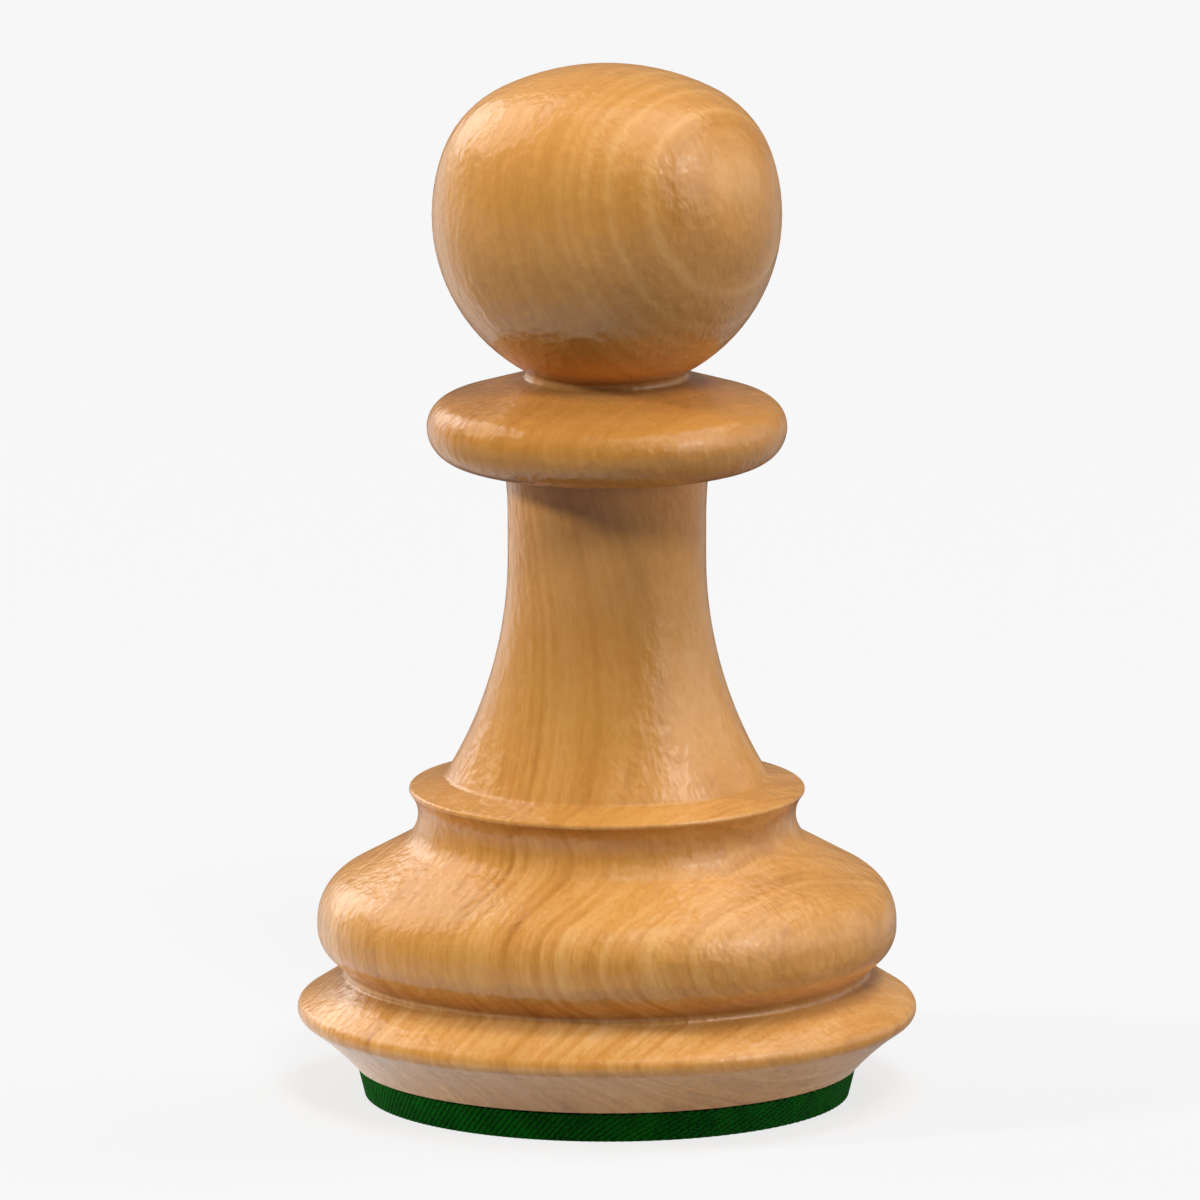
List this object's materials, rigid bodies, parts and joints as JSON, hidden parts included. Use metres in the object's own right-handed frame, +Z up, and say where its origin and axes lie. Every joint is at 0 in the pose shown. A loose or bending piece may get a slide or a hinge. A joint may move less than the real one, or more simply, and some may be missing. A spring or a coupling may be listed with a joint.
{
  "type": "chess pawn",
  "caption": "Turned wooden chess pawn with a round head, collar, flared stem and domed base, weighted inside and standing on a felt pad.",
  "frame": {"origin": "centre of the felt's lower face, where the pawn stands", "axes": "+Z up along the turning axis; the pawn is round, so +X and +Y are free"},
  "size_m": [0.0296, 0.0296, 0.05],
  "materials": {
    "boxwood": "boxwood, fine grain, clear satin lacquer",
    "slug_steel": "mild steel bar, sawn and chamfered",
    "plug_wood": "bare turned wood, sanded flush",
    "glue": "dried clear adhesive",
    "felt": "dark green felt, close diagonal rib"
  },
  "bodies": {
    "root": {"turned_body": "boxwood", "weight_slug": "slug_steel", "bore_plug": "plug_wood", "glue_film": "glue", "felt_pad": "felt"}
  },
  "joints": []
}
